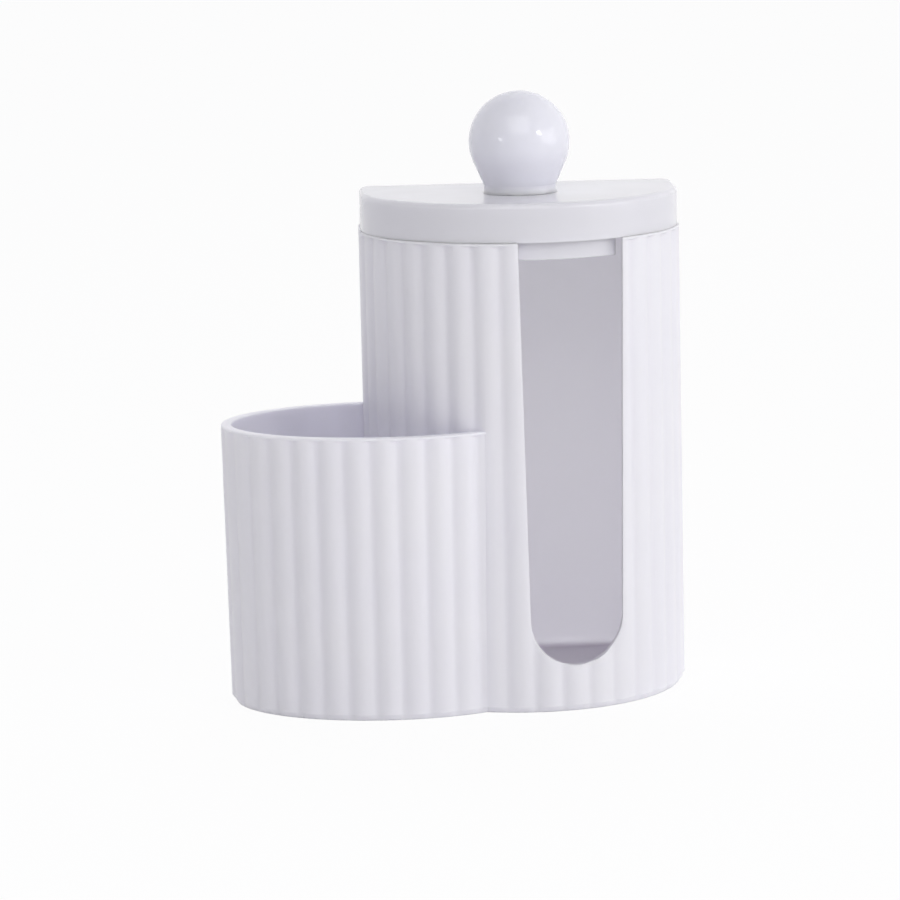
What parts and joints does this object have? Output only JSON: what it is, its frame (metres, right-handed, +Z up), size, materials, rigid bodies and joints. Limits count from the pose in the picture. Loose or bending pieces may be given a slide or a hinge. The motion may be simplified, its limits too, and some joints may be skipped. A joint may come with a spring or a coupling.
{
  "type": "cotton swab box",
  "caption": "Ribbed plastic bathroom box: a tall D-shaped cotton pad compartment with a front slot and a lift-off lid with a ball knob, and an open oval swab cup at its side.",
  "frame": {"origin": "middle of the base of the whole object's box, on the surface that it stands on", "axes": "+Z up, +Y out of the flat back, +X towards the tall compartment, away from the swab cup"},
  "size_m": [0.1214, 0.0644, 0.1576],
  "materials": {
    "white_plastic": "satin moulded",
    "lid_plastic": "smooth semi-gloss",
    "knob_plastic": "polished",
    "screw_steel": "zinc plated"
  },
  "bodies": {
    "container": {"container": "white_plastic"},
    "lid": {"lid": "lid_plastic", "knob": "knob_plastic", "knob_screw": "screw_steel"}
  },
  "joints": [
    {"name": "lid_lift", "type": "slide", "parent": "container", "child": "lid", "axis": [0, 0, 1], "range_m": [0, 0.06]}
  ]
}
